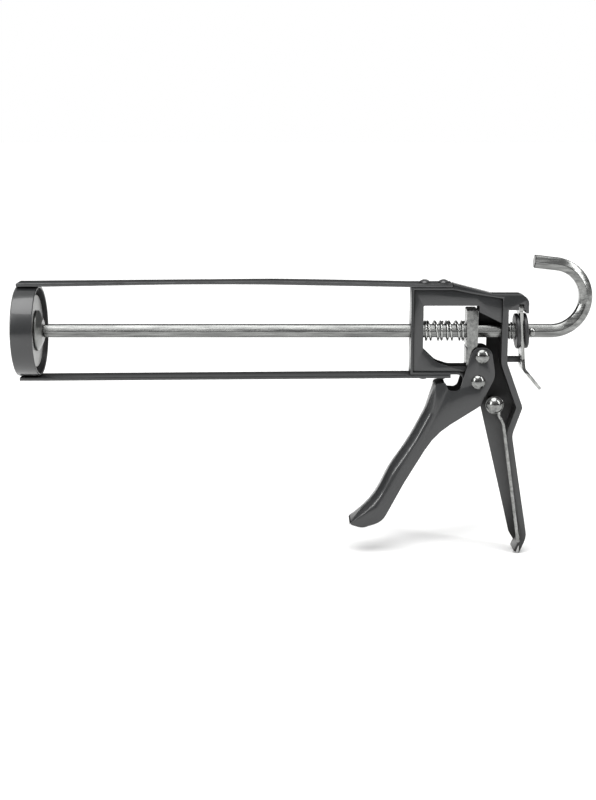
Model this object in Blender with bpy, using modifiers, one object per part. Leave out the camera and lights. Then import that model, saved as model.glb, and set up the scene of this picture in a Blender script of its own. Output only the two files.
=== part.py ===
"""Skeleton caulking gun for rigid sealant cartridges, modelled as its separate pieces.

Metres, +Z up. +X runs along the push rod from the front ring to the hook, and the
trigger and handle hang down along -Z. The origin is the centre of the plunger's front
face with the rod fully forward. -Y is the side with the wire and the rivet heads.
"""

import math

import bmesh
import bpy
from mathutils import Matrix, Vector

# ---- Driving dimensions (metres, degrees where a name ends in _DEG) ----
FIT = 0.0003                 # gap left between faces that rest on each other
SHANK_GAP = 0.00015          # radial gap round a rivet or pin
SHEET = 0.0015               # frame sheet

RING_RADIUS = 0.0288         # outside of the front ring
RING_WALL = 0.0016
RING_LENGTH = 0.0139
RING_OPENING_RADIUS = 0.0215  # nozzle opening in the ring's front
RING_FRONT_X = -0.0096

CARTRIDGE_SPACE = 0.2483     # from the ring's seat to the frame's front face
RAIL_WIDTH = 0.0156
RAIL_THICKNESS = 0.002
RAIL_BOW = 0.0016            # how far the top rail arches up at mid span
RAIL_OVERLAP = 0.0257        # length of rail lying on the frame

FRAME_WIDTH = 0.015
FRAME_TOP = 0.0286           # flange that carries the top rail
FRAME_BOTTOM = -0.0271
FRAME_LENGTH = 0.0593        # front face to the rear wall's rear face
HUMP_TOP = 0.0303
HOOD_TOP = 0.0237
HOOD_LENGTH = 0.0149         # hood behind the rear wall
HOOD_UNDERSIDE = 0.0143
LIP_WIDTH = 0.0038           # rim along the back edge of the frame and handle
LIP_OVERHANG = 0.0022        # how far that rim stands out behind the rear wall
WINDOW_FRONT = 0.0078        # window edges, behind the frame's front face
WINDOW_REAR = 0.0431
WINDOW_TOP = 0.0169
WINDOW_BOTTOM = -0.0222
PIN_WINDOW_REAR = 0.0497     # the far wall's window reaches further back below the rod
COVER_RECESS = 0.0011        # cover plate behind the flange edge
COVER_THICKNESS = 0.0014

ROD_FLATS = 0.008            # hexagon bar, across flats
HOOK_RADIUS = 0.0215         # bend of the hook, to the bar's centre line
ROD_OVERHANG = 0.0302        # straight bar behind the frame's rear wall
HOOK_SEAT = 0.002            # straight length at the start of the hook's own body
HOOK_TURN_DEG = 173.5
HOOK_LEG = 0.0145
STOP_PIN_BEHIND = 0.0176     # stop pin, behind the frame's rear wall
STOP_PIN_SHANK = 0.0015
STOP_PIN_HEAD = 0.0026

PLUNGER_GAP = 0.0042         # from the plunger's edge to the ring's inside
PLUNGER_THICKNESS = 0.002
BOSS_RADIUS = 0.013
BOSS_THICKNESS = 0.0038
SPIGOT_RADIUS = 0.0032       # turned end of the rod, peened in the plunger
PEENED_RADIUS = 0.0045

PIVOT_X = 0.0432             # trigger pivot, behind the frame's front face
PIVOT_Z = -0.0318
PIVOT_RADIUS = 0.0025
PUSH_PIN_X = 0.0022          # push pin, from the trigger pivot
PUSH_PIN_Z = 0.0166
PUSH_PIN_RADIUS = 0.0025
TRIGGER_WALL = 0.0017
TRIGGER_ROUND = 0.0066       # rounding of the trigger's front spine
RIVET_HEAD_RADIUS = 0.0045
RIVET_HEAD_HEIGHT = 0.0022

DRIVER_LENGTH = 0.0072       # along the rod
DRIVER_WIDTH = 0.014
DRIVER_TOP = 0.0146
DRIVER_BOTTOM = -0.0216

SPRING_CLEARANCE = 0.00055   # from the rod's corners to a drive spring's wire
SPRING_WIRE = 0.00145
SPRING_END_TURNS = 1.3       # closed turns at each end
SPRING_FREE_TURNS = 1.6
SEAT_WALL_X = 0.0065         # inner wall that the spring rests on
RELEASE_WIRE = 0.001         # release spring's wire
RELEASE_CLEARANCE = 0.00013  # from the rod's corners to that wire

WIRE_PIVOT_X = 0.0535        # ball-headed rivet in the handle
WIRE_PIVOT_Z = -0.0459
WIRE_PIVOT_SHANK = 0.0022
WIRE_PIVOT_SPIGOT = 0.0016
WIRE_HEAD_RADIUS = 0.00575
WIRE_HEAD_HEIGHT = 0.004
WIRE_DIAMETER = 0.002
WIRE_REACH = 0.0934          # pivot to the wire's tip

LEVER_PIVOT_X = 0.0102       # fulcrum of the release lever, behind the rear wall
LEVER_PIVOT_Z = 0.0156
LEVER_THICKNESS = 0.002
LEVER_WIDTH = 0.0140
LEVER_DROP = 0.0396          # fulcrum to the bend
LEVER_TAB = 0.0172
LEVER_TAB_WIDTH = 0.0192      # the thumb's end, wider than the lever
LEVER_TAB_DEG = 36.5
LEVER_TILT_DEG = 3.8         # resting tilt that grips the rod
LEVER_SHOULDER = 0.0016      # height of the lever's ears above and below the fulcrum
BRAKE_DISC_RADIUS = 0.0113
BRAKE_DISC_THICKNESS = 0.0024
BRAKE_CLEARANCE = 0.0008     # from the rod's corners to the holes round them

RAIL_RIVET_X = (0.0087, 0.0207)   # behind the frame's front face
RAIL_RIVET_SHANK = 0.0019
RAIL_RIVET_HEAD = 0.0036
RAIL_RIVET_HEIGHT = 0.0018
RAIL_RIVET_TAIL = 0.0029

ROUND = 32                   # sides of a turned piece

# ---- Places that follow from the dimensions ----
RING_SEAT_X = RING_FRONT_X + RING_WALL
FRAME_X = RING_SEAT_X + CARTRIDGE_SPACE
REAR_X = FRAME_X + FRAME_LENGTH
FRAME_HALF = FRAME_WIDTH / 2
WEB_Y = FRAME_HALF - SHEET
RAIL_INNER_FRONT = RING_RADIUS + FIT
PLUNGER_RADIUS = RING_RADIUS - RING_WALL - PLUNGER_GAP
HOOK_START = REAR_X + ROD_OVERHANG
STOP_PIN_X = REAR_X + STOP_PIN_BEHIND
ROD_CORNER = ROD_FLATS / math.sqrt(3)
ROD_HOLE = ROD_CORNER + 0.0004
SPRING_RADIUS = ROD_CORNER + SPRING_CLEARANCE + SPRING_WIRE / 2
BRAKE_HOLE_RADIUS = ROD_CORNER + BRAKE_CLEARANCE
RELEASE_RADIUS = ROD_CORNER + RELEASE_CLEARANCE + RELEASE_WIRE / 2
PIVOT = Vector((FRAME_X + PIVOT_X, 0, PIVOT_Z))
PUSH_PIN = PIVOT + Vector((PUSH_PIN_X, 0, PUSH_PIN_Z))
CHEEK_INNER = FRAME_HALF + FIT
CHEEK_OUTER = CHEEK_INNER + TRIGGER_WALL
DRIVER_REAR = PUSH_PIN.x - PUSH_PIN_RADIUS - FIT
DRIVER_FRONT = DRIVER_REAR - DRIVER_LENGTH
SEAT_X = FRAME_X + SEAT_WALL_X + SHEET
WIRE_PIVOT = Vector((FRAME_X + WIRE_PIVOT_X, 0, WIRE_PIVOT_Z))
LEVER_PIVOT = Vector((REAR_X + LEVER_PIVOT_X, 0, LEVER_PIVOT_Z))


# ---- Scene helpers ----
def clear_scene():
    for old in list(bpy.data.objects):
        bpy.data.objects.remove(old, do_unlink=True)


clear_scene()
parts = bpy.data.collections.new("caulking_gun")
cutters = bpy.data.collections.new("cutters")
for group in (parts, cutters):
    bpy.context.scene.collection.children.link(group)


def material(name, colour, roughness, metallic):
    made = bpy.data.materials.new(name)
    made.use_nodes = True
    shader = made.node_tree.nodes["Principled BSDF"]
    shader.inputs["Base Color"].default_value = (*colour, 1)
    shader.inputs["Roughness"].default_value = roughness
    shader.inputs["Metallic"].default_value = metallic
    return made


PAINT = material("grey_enamel", (0.075, 0.077, 0.08), 0.35, 0.0)
ZINC = material("zinc_plate", (0.62, 0.62, 0.6), 0.32, 1.0)
SPRING_STEEL = material("spring_steel", (0.55, 0.55, 0.54), 0.3, 1.0)
BLACK = material("black_washer", (0.02, 0.02, 0.021), 0.45, 0.0)


def add_part(name, mesh, finish, parent=None, at=(0, 0, 0), turn=(0, 0, 0)):
    """One named sub-part, placed by its location and rotation."""
    made = bpy.data.objects.new(name, mesh)
    parts.objects.link(made)
    made.parent = parent
    made.location = at
    made.rotation_euler = turn
    mesh.materials.clear()
    mesh.materials.append(finish)
    return made


def joint_empty(name, at, turn=(0, 0, 0)):
    """An empty on a joint's axis, which carries the pieces that move about it."""
    made = bpy.data.objects.new(name, None)
    parts.objects.link(made)
    made.location = at
    made.rotation_euler = turn
    bpy.context.view_layer.update()
    return made


def smooth(made, angle_deg=35):
    made.data.shade_smooth()
    made.data.set_sharp_from_angle(angle=math.radians(angle_deg))


# ---- Outline helpers: lists of (x, z) in the side view ----
def rounded(corners, closed=True):
    """Points through (x, z, radius) corners, each corner replaced by an arc."""
    points = []
    count = len(corners)
    for i, (x, z, radius) in enumerate(corners):
        here = Vector((x, z))
        if radius == 0 or (not closed and i in (0, count - 1)):
            points.append(here)
            continue
        before = (Vector(corners[i - 1][:2]) - here)
        after = (Vector(corners[(i + 1) % count][:2]) - here)
        turn = math.pi - before.angle(after)
        if turn < 0.02:
            points.append(here)
            continue
        room = min(before.length, after.length) * 0.48
        reach = min(radius * math.tan(turn / 2), room)
        used = reach / math.tan(turn / 2)
        start = here + before.normalized() * reach
        middle = here + (before.normalized() + after.normalized()).normalized() * (
            used / math.cos(turn / 2)
        )
        steps = max(3, math.ceil(turn / math.radians(11)))
        side = 1 if before.x * after.y - before.y * after.x < 0 else -1
        arm = start - middle
        for k in range(steps + 1):
            angle = side * turn * k / steps
            points.append(
                middle
                + Vector((
                    arm.x * math.cos(angle) - arm.y * math.sin(angle),
                    arm.x * math.sin(angle) + arm.y * math.cos(angle),
                ))
            )
    return points


def offset(path, distance, closed=False):
    """A path moved to its left by distance."""
    moved = []
    count = len(path)
    for i, here in enumerate(path):
        first_step = here - path[i - 1] if i or closed else path[1] - here
        last_step = path[(i + 1) % count] - here if i + 1 < count or closed else first_step
        first = Vector((-first_step.y, first_step.x)).normalized()
        second = Vector((-last_step.y, last_step.x)).normalized()
        mean = (first + second).normalized()
        moved.append(here + mean * (distance / max(mean.dot(first), 0.5)))
    return moved


def circle(x, z, radius, sides=ROUND):
    return [
        Vector((
            x + radius * math.cos(2 * math.pi * (k + 0.5) / sides),
            z + radius * math.sin(2 * math.pi * (k + 0.5) / sides),
        ))
        for k in range(sides)
    ]


# ---- Mesh helpers ----
def mesh_of(made, weld=0.000001):
    """The evaluated mesh of an object, with its loose caps welded; the object goes."""
    bpy.context.view_layer.update()
    graph = bpy.context.evaluated_depsgraph_get()
    mesh = bpy.data.meshes.new_from_object(made.evaluated_get(graph))
    mesh.transform(made.matrix_world)
    bpy.data.objects.remove(made, do_unlink=True)
    work = bmesh.new()
    work.from_mesh(mesh)
    bmesh.ops.remove_doubles(work, verts=work.verts, dist=weld)
    bmesh.ops.recalc_face_normals(work, faces=work.faces)
    work.to_mesh(mesh)
    work.free()
    return mesh


def sheet(outline, y_low, y_high, holes=()):
    """A flat outline in the side view, extruded from y_low to y_high."""
    curve = bpy.data.curves.new("outline", "CURVE")
    curve.dimensions = "2D"
    curve.fill_mode = "BOTH"
    curve.extrude = (y_high - y_low) / 2
    for loop in (outline, *holes):
        spline = curve.splines.new("POLY")
        spline.points.add(len(loop) - 1)
        for point, (x, z) in zip(spline.points, loop):
            point.co = (x, z, 0, 1)
        spline.use_cyclic_u = True
    made = bpy.data.objects.new("outline", curve)
    parts.objects.link(made)
    made.location = (0, (y_low + y_high) / 2, 0)
    made.rotation_euler = (math.radians(90), 0, 0)
    mesh = mesh_of(made)
    work = bmesh.new()
    work.from_mesh(mesh)
    bmesh.ops.dissolve_limit(
        work, angle_limit=math.radians(0.05), verts=work.verts, edges=work.edges
    )
    work.to_mesh(mesh)
    work.free()
    return mesh


def bar(points, radius, resolution, tilt_deg=0):
    """A round or many-sided bar along a list of 3-D points."""
    curve = bpy.data.curves.new("bar", "CURVE")
    curve.dimensions = "3D"
    curve.bevel_depth = radius
    curve.bevel_resolution = resolution
    curve.use_fill_caps = True
    spline = curve.splines.new("POLY")
    spline.points.add(len(points) - 1)
    for point, at in zip(spline.points, points):
        point.co = (*at, 1)
        point.tilt = math.radians(tilt_deg)
    made = bpy.data.objects.new("bar", curve)
    parts.objects.link(made)
    return mesh_of(made)


def turned(profile, axis="Y", sides=ROUND):
    """A turned piece: (radius, height) points down its outer side, about an axis."""
    mesh = bpy.data.meshes.new("profile")
    work = bmesh.new()
    row = [work.verts.new((radius, 0, height)) for radius, height in profile]
    for first, second in zip(row, row[1:]):
        work.edges.new((first, second))
    if profile[0][0] > 0:
        work.edges.new((row[-1], row[0]))
    work.to_mesh(mesh)
    work.free()
    made = bpy.data.objects.new("profile", mesh)
    parts.objects.link(made)
    screw = made.modifiers.new("turn", "SCREW")
    screw.steps = sides
    screw.render_steps = sides
    screw.use_merge_vertices = True
    screw.merge_threshold = 0.000001
    if axis == "Y":
        made.rotation_euler = (math.radians(90), 0, 0)
    elif axis == "X":
        made.rotation_euler = (0, math.radians(-90), 0)
    return mesh_of(made)


def cutter(name, mesh):
    made = bpy.data.objects.new(name, mesh)
    cutters.objects.link(made)
    made.hide_render = True
    made.display_type = "WIRE"
    return made


def combine(made, mesh, operation="DIFFERENCE"):
    """A Boolean with another mesh, left as a modifier on the piece."""
    tool = cutter(made.name + "_" + operation.lower(), mesh)
    tool.parent = made
    change = made.modifiers.new(operation.lower(), "BOOLEAN")
    change.operation = operation
    change.solver = "EXACT"
    change.object = tool


def round_bar(radius, low, high, at, axis="Y", sides=ROUND):
    """A plain round pin between two heights along an axis through a point."""
    mesh = turned([(0, high), (radius, high), (radius, low), (0, low)], axis, sides)
    mesh.transform(Matrix.Translation(at))
    return mesh


def box(low, high):
    """A plain block between two corners."""
    mesh = bpy.data.meshes.new("block")
    work = bmesh.new()
    bmesh.ops.create_cube(work, size=1)
    low, high = Vector(low), Vector(high)
    for point in work.verts:
        half = point.co + Vector((0.5, 0.5, 0.5))
        point.co = low + Vector(a * b for a, b in zip(half, high - low))
    work.to_mesh(mesh)
    work.free()
    return mesh


def dome(radius, height, base, steps=4):
    """Profile points of a domed head, from its crown down to its edge at base."""
    sphere = (radius * radius + height * height) / (2 * height)
    widest = math.asin(min(radius / sphere, 1))
    if height > radius * 0.999:
        widest = math.pi / 2
    return [
        (sphere * math.sin(widest * k / steps),
         base + height - sphere + sphere * math.cos(widest * k / steps))
        for k in range(steps + 1)
    ]


# ---- Front ring: a painted band with an inward lip that stops the cartridge ----
ring_rear_x = RING_FRONT_X + RING_LENGTH
ring_profile = [
    (RING_RADIUS, -RING_FRONT_X - 0.0008),
    (RING_RADIUS, -ring_rear_x),
    (RING_RADIUS - RING_WALL, -ring_rear_x),
    (RING_RADIUS - RING_WALL, -RING_SEAT_X),
    (RING_OPENING_RADIUS, -RING_SEAT_X),
    (RING_OPENING_RADIUS, -RING_FRONT_X),
    (RING_RADIUS - 0.0008, -RING_FRONT_X),
]
ring = add_part("front_ring", turned(ring_profile, "X", 56), PAINT)
smooth(ring)

# ---- Rails: flat straps over and under the ring, riveted to the frame's flanges ----
rail_front_x = RING_FRONT_X + 0.0009
rail_rear_x = FRAME_X + RAIL_OVERLAP


def rail_outline(side, frame_face, bow):
    """Side view of a strap that lies on the ring at one end and the frame at the other."""
    steps = 24
    ring_end = RING_FRONT_X + RING_LENGTH + 0.002
    inner = [Vector((rail_front_x, side * RAIL_INNER_FRONT))]
    seat = side * (abs(frame_face) + FIT)
    for k in range(steps + 1):
        share = k / steps
        x = ring_end + (FRAME_X - 0.002 - ring_end) * share
        z = side * RAIL_INNER_FRONT * (1 - share) + seat * share
        inner.append(Vector((x, z + side * bow * math.sin(math.pi * share))))
    inner.append(Vector((rail_rear_x, seat)))
    outer = [point + Vector((0, side * RAIL_THICKNESS)) for point in inner]
    return inner + outer[::-1]


def rail(name, side, frame_face, bow):
    made = add_part(
        name,
        sheet(rail_outline(side, frame_face, bow), -RAIL_WIDTH / 2, RAIL_WIDTH / 2),
        PAINT,
    )
    for x in RAIL_RIVET_X:
        hole = round_bar(
            RAIL_RIVET_SHANK + SHANK_GAP,
            -0.004,
            0.004,
            (FRAME_X + x, 0, frame_face + side * RAIL_THICKNESS / 2),
            "Z",
        )
        combine(made, hole)
    return made


top_rail = rail("top_rail", 1, FRAME_TOP, RAIL_BOW)
bottom_rail = rail("bottom_rail", -1, FRAME_BOTTOM, 0)

# ---- Frame shell: a pressed tray open towards -Y, with handle, hood and rim ----
# Side-view outlines are measured from the frame's front face and the rod's axis.
# Each runs with the outside on its left.
BURIED = 0.0003   # how far one sheet runs into another where they join
hood_end_x = FRAME_LENGTH + HOOD_LENGTH
hood_lowest = HOOD_UNDERSIDE - 0.0021
top_line = [
    (0, FRAME_TOP, 0),
    (RAIL_OVERLAP + 0.0003, FRAME_TOP, 0.0003),
    (RAIL_OVERLAP + 0.0010, HUMP_TOP, 0.0006),
    (FRAME_LENGTH - 0.007, HOOD_TOP, 0.010),
    (hood_end_x, HOOD_TOP, 0.0065),
    (hood_end_x, hood_lowest, 0),
]
rim_lower = [
    (SHEET, FRAME_TOP - SHEET),
    (0.0265, FRAME_TOP - SHEET),
    (0.0410, HOOD_TOP + 0.0005),
    (FRAME_LENGTH - 0.0055, HOOD_TOP - SHEET),
]
rear_edge = rounded(
    [
        (FRAME_LENGTH + LIP_OVERHANG, HOOD_TOP - SHEET, 0),
        (FRAME_LENGTH + LIP_OVERHANG, -0.0195, 0.010),
        (FRAME_LENGTH + 0.0130, -0.0486, LIP_OVERHANG + SHEET + FIT),
        (FRAME_LENGTH + 0.0068, -0.0668, 0.012),
        (FRAME_LENGTH + 0.0184, -0.1350, 0.012),
        (FRAME_LENGTH + 0.0138, -0.1462, 0),
    ],
    closed=False,
)
rear_outer = offset(rear_edge, -LIP_OVERHANG)
rear_inner = offset(rear_edge, -LIP_OVERHANG - SHEET)
handle_front = rounded(
    [
        (0.0345, FRAME_BOTTOM, 0),
        (0.0362, -0.0370, 0.002),
        (0.0462, -0.0483, 0.004),
        (FRAME_LENGTH + 0.0085, -0.1357, 0.004),
        (FRAME_LENGTH + 0.0120, -0.1415, 0),
    ],
    closed=False,
)
floor_line = rounded(
    [(0, FRAME_BOTTOM, 0), (0.0335, FRAME_BOTTOM, 0.005), (0.0362, -0.0385, 0)],
    closed=False,
)


def place(points):
    """Outline points moved from the frame's front face to world x."""
    return [Vector((FRAME_X + point[0], point[1])) for point in points]


top_outer = rounded(top_line, closed=False)
hood_inner = rounded(
    [
        (hood_end_x - SHEET, hood_lowest, 0),
        (hood_end_x - SHEET, HOOD_TOP - SHEET, 0.0050),
        (FRAME_LENGTH, HOOD_TOP - SHEET, 0),
    ],
    closed=False,
)
wall_outline = place(
    floor_line[::-1]
    + top_outer
    + hood_inner
    + rear_outer[1:]
    + rear_inner[1:][::-1]
    + [Vector((FRAME_LENGTH - SHEET, HOOD_TOP - 2 * SHEET)),
       Vector((FRAME_LENGTH - 1.3 * SHEET, HOOD_TOP - 1.3 * SHEET))]
    + [Vector(point) for point in rim_lower[::-1]]
    + [Vector((SHEET, FRAME_BOTTOM + SHEET))]
    + offset(floor_line, SHEET)[1:]
)
web_line = (
    top_outer
    + [Vector((hood_end_x - SHEET, hood_lowest)),
       Vector((hood_end_x - SHEET, HOOD_UNDERSIDE)),
       Vector((FRAME_LENGTH, HOOD_UNDERSIDE))]
    + [point for point in rear_outer if point.y < HOOD_UNDERSIDE - 0.001]
    + handle_front[::-1]
    + [Vector((0, FRAME_BOTTOM))]
)
web_outline = place(offset(web_line, -BURIED, closed=True))
window_outline = place(
    rounded([
        (WINDOW_FRONT, WINDOW_TOP, 0.0008),
        (WINDOW_REAR, WINDOW_TOP, 0.0008),
        (WINDOW_REAR, -0.0005, 0),
        (PIN_WINDOW_REAR, -0.0005, 0.0008),
        (PIN_WINDOW_REAR, WINDOW_BOTTOM, 0.002),
        (0.0245, WINDOW_BOTTOM, 0.008),
        (0.0165, -0.0195, 0.010),
        (WINDOW_FRONT, -0.0112, 0.002),
    ])
)
pivot_hole = circle(PIVOT.x, PIVOT.z, PIVOT_RADIUS + SHANK_GAP)
wire_hole = circle(WIRE_PIVOT.x, WIRE_PIVOT.z, WIRE_PIVOT_SPIGOT + SHANK_GAP)
frame = add_part("frame_shell", sheet(wall_outline, -FRAME_HALF, FRAME_HALF), PAINT)
web = sheet(
    web_outline, WEB_Y, FRAME_HALF - 0.0001, [window_outline, pivot_hole, wire_hole]
)
combine(frame, web, "UNION")

hood_side = rounded(
    [
        (FRAME_LENGTH - SHEET / 2, HOOD_TOP - BURIED, 0),
        (hood_end_x - BURIED, HOOD_TOP - BURIED, 0.0062),
        (hood_end_x - BURIED, hood_lowest + BURIED, 0),
        (hood_end_x - SHEET - BURIED, hood_lowest + BURIED, 0),
        (hood_end_x - SHEET - BURIED, HOOD_UNDERSIDE, 0.0005),
        (FRAME_LENGTH + LIP_OVERHANG, HOOD_UNDERSIDE, 0.0005),
    ],
    closed=False,
)
lip = [point for point in rear_edge if point.y < HOOD_UNDERSIDE - 0.001]
lip_outline = place(
    hood_side
    + lip
    + [point for point in offset(rear_edge, -LIP_WIDTH)[:-2][::-1]
       if point.y < HOOD_UNDERSIDE - 0.001]
    + [Vector((FRAME_LENGTH + LIP_OVERHANG - LIP_WIDTH, HOOD_UNDERSIDE - 0.001))]
)
combine(
    frame, sheet(lip_outline, -FRAME_HALF - 0.0001, -FRAME_HALF + SHEET), "UNION"
)

seat_half = 0.0125
seat_wall = box(
    (SEAT_X - SHEET, -FRAME_HALF + COVER_RECESS + COVER_THICKNESS + FIT, -seat_half),
    (SEAT_X, WEB_Y + BURIED, seat_half),
)
combine(frame, seat_wall, "UNION")

tongue_end = LEVER_PIVOT.x + 0.0011
tongue = box(
    (REAR_X - 0.0008, -0.002, -0.0200),
    (tongue_end, 0.002, -0.0166),
)
combine(frame, tongue, "UNION")

rod_passage = round_bar(
    ROD_HOLE, -REAR_X - 0.006, -FRAME_X + 0.005, (0, 0, 0), "X"
)
combine(frame, rod_passage)
spring_room = RELEASE_RADIUS + RELEASE_WIRE / 2 + SHANK_GAP
if spring_room > FRAME_HALF - SHEET:
    combine(frame, round_bar(
        spring_room, -LEVER_PIVOT.x, -REAR_X - 0.00001, (0, 0, 0), "X"
    ))
for side, face in ((1, FRAME_TOP), (-1, FRAME_BOTTOM)):
    for x in RAIL_RIVET_X:
        combine(frame, round_bar(
            RAIL_RIVET_SHANK + SHANK_GAP, -0.003, 0.003, (FRAME_X + x, 0, face), "Z"
        ))
notch = box(
    (LEVER_PIVOT.x - 0.0016, -FRAME_HALF - 0.001, HOOD_UNDERSIDE - 0.001),
    (LEVER_PIVOT.x + 0.0016, FRAME_HALF + 0.001, LEVER_PIVOT.z + 0.0024),
)
combine(frame, notch)

# ---- Frame cover: the plate that closes the near side around the mechanism ----
cover_front = SHEET + FIT
cover_rear = FRAME_LENGTH - SHEET - FIT
cover_outline = place(rounded([
    (cover_front, FRAME_TOP - SHEET - FIT, 0),
    (0.0262, rim_lower[1][1] - FIT, 0),
    (0.0410, rim_lower[2][1] - FIT, 0),
    (FRAME_LENGTH - 0.0055, rim_lower[3][1] - FIT, 0),
    (FRAME_LENGTH - 1.3 * SHEET - FIT, HOOD_TOP - 1.3 * SHEET - FIT, 0),
    (cover_rear, HOOD_TOP - 2 * SHEET - FIT, 0),
    (cover_rear, 0.0058, 0),
    (WINDOW_REAR, 0.0129, 0),
    (WINDOW_REAR, WINDOW_TOP, 0.0008),
    (WINDOW_FRONT, WINDOW_TOP, 0.0008),
    (WINDOW_FRONT, -0.0112, 0.002),
    (0.0165, -0.0195, 0.010),
    (0.0245, WINDOW_BOTTOM, 0.008),
    (PIVOT_X + 0.0015, WINDOW_BOTTOM, 0.002),
    (PIVOT_X + 0.0070, -0.0270, 0.003),
    (PIVOT_X + 0.0045, PIVOT_Z - 0.0062, 0.004),
    (PIVOT_X - 0.0050, PIVOT_Z - 0.0062, 0.003),
    (PIVOT_X - 0.0065, FRAME_BOTTOM + SHEET + FIT, 0.003),
    (cover_front, FRAME_BOTTOM + SHEET + FIT, 0),
]))
cover_low = -FRAME_HALF + COVER_RECESS
cover = add_part(
    "frame_cover",
    sheet(cover_outline, cover_low, cover_low + COVER_THICKNESS, [pivot_hole]),
    PAINT,
)
combine(cover, round_bar(ROD_CORNER + FIT, -REAR_X - 0.003, -FRAME_X + 0.003, (0, 0, 0), "X"))

# ---- Rail rivets: low domed heads outside, closed heads inside the flange ----


def rail_rivet(name, x, side, face):
    outside = RAIL_THICKNESS + 2 * FIT
    inside = -SHEET - FIT
    profile = [
        *dome(RAIL_RIVET_HEAD, RAIL_RIVET_HEIGHT, outside, 3),
        (RAIL_RIVET_SHANK, outside),
        (RAIL_RIVET_SHANK, inside),
        (RAIL_RIVET_TAIL, inside),
        (RAIL_RIVET_TAIL * 0.8, inside - 0.0009),
        (0, inside - 0.0009),
    ]
    turn = (0, 0, 0) if side > 0 else (math.pi, 0, 0)
    made = add_part(name, turned(profile, "Z", 24), PAINT, None, (FRAME_X + x, 0, face), turn)
    smooth(made)


for x, end in zip(RAIL_RIVET_X, ("front", "rear")):
    rail_rivet("top_rail_rivet_" + end, x, 1, FRAME_TOP)
    rail_rivet("bottom_rail_rivet_" + end, x, -1, FRAME_BOTTOM)

# ---- Push rod: hexagon bar with a turned spigot in front and a hook behind ----
# The bend is a body of its own, butted to the bar's end.
rod_slide = joint_empty("rod_slide_axis", (0, 0, 0))
boss_rear = PLUNGER_THICKNESS + BOSS_THICKNESS + FIT
bar_start = boss_rear + FIT
hook_middle = Vector((HOOK_START, 0, HOOK_RADIUS))
hook_steps = 22
rod_path = [Vector((bar_start, 0, 0)), Vector((HOOK_START - HOOK_SEAT - FIT, 0, 0))]
hook_path = [Vector((HOOK_START - HOOK_SEAT, 0, 0))]
for k in range(hook_steps + 1):
    angle = math.radians(HOOK_TURN_DEG * k / hook_steps)
    hook_path.append(hook_middle + HOOK_RADIUS * Vector((math.sin(angle), 0, -math.cos(angle))))
leg = math.radians(HOOK_TURN_DEG)
hook_path.append(hook_path[-1] + HOOK_LEG * Vector((math.cos(leg), 0, math.sin(leg))))
add_part("rod_hook", bar(hook_path, ROD_CORNER, 1), ZINC, rod_slide)
rod = add_part("push_rod", bar(rod_path, ROD_CORNER, 1), ZINC, rod_slide)
spigot = turned(
    [
        (0, 0),
        (PEENED_RADIUS, 0),
        (SPIGOT_RADIUS, -0.0013),
        (SPIGOT_RADIUS, -bar_start - 0.002),
        (0, -bar_start - 0.002),
    ],
    "X",
)
combine(rod, spigot, "UNION")
combine(rod, round_bar(STOP_PIN_SHANK + SHANK_GAP, -0.008, 0.008, (STOP_PIN_X, 0, 0), "Y", 20))

# ---- Plunger: a flat disc and the boss behind it, peened on the rod's spigot ----
disc_profile = [
    (PLUNGER_RADIUS - 0.0006, 0),
    (PLUNGER_RADIUS, -0.0006),
    (PLUNGER_RADIUS, -PLUNGER_THICKNESS),
    (SPIGOT_RADIUS + SHANK_GAP, -PLUNGER_THICKNESS),
    (SPIGOT_RADIUS + SHANK_GAP, -0.0013),
    (PEENED_RADIUS + SHANK_GAP, 0),
]
disc = add_part("plunger_disc", turned(disc_profile, "X", 48), ZINC, rod_slide)
smooth(disc)
boss_front = PLUNGER_THICKNESS + FIT
boss_profile = [
    (BOSS_RADIUS, -boss_front),
    (BOSS_RADIUS, -boss_front - 0.0010),
    (BOSS_RADIUS * 0.55, -boss_rear),
    (SPIGOT_RADIUS + SHANK_GAP, -boss_rear),
    (SPIGOT_RADIUS + SHANK_GAP, -boss_front),
]
boss = add_part("plunger_boss", turned(boss_profile, "X", 40), ZINC, rod_slide)
smooth(boss)

# ---- Stop pin: a cross pin peened over on both sides of the rod ----
pin_head = ROD_CORNER + FIT
stop_profile = [
    *dome(STOP_PIN_HEAD, 0.0014, pin_head, 3),
    (STOP_PIN_SHANK, pin_head),
    (STOP_PIN_SHANK, -pin_head),
    *[(r, -z) for r, z in dome(STOP_PIN_HEAD, 0.0014, pin_head, 3)[::-1]],
]
stop_pin = add_part(
    "rod_stop_pin", turned(stop_profile, "Y", 20), ZINC, rod_slide, (STOP_PIN_X, 0, 0)
)
smooth(stop_pin)

# ---- Drive block: grips the rod when the push pin presses on its lower end ----
block_slide = joint_empty("driver_slide_axis", (DRIVER_FRONT, 0, 0))
block_outline = rounded([
    (0, DRIVER_TOP, 0.0012),
    (DRIVER_LENGTH, DRIVER_TOP, 0.0012),
    (DRIVER_LENGTH, -0.0082, 0),
    (DRIVER_LENGTH - 0.0004, -0.0086, 0),
    (DRIVER_LENGTH - 0.0004, -0.0098, 0),
    (DRIVER_LENGTH, -0.0102, 0),
    (DRIVER_LENGTH, DRIVER_BOTTOM, 0.0012),
    (0, DRIVER_BOTTOM, 0.0012),
    (0, -0.0102, 0),
    (0.0004, -0.0098, 0),
    (0.0004, -0.0086, 0),
    (0, -0.0082, 0),
])
block = add_part(
    "drive_block", sheet(block_outline, -DRIVER_WIDTH / 2, DRIVER_WIDTH / 2), ZINC, block_slide
)
rod_bore = round_bar(ROD_CORNER + SHANK_GAP, -DRIVER_LENGTH - 0.002, 0.002, (0, 0, 0), "X", 36)
combine(block, rod_bore)


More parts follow.
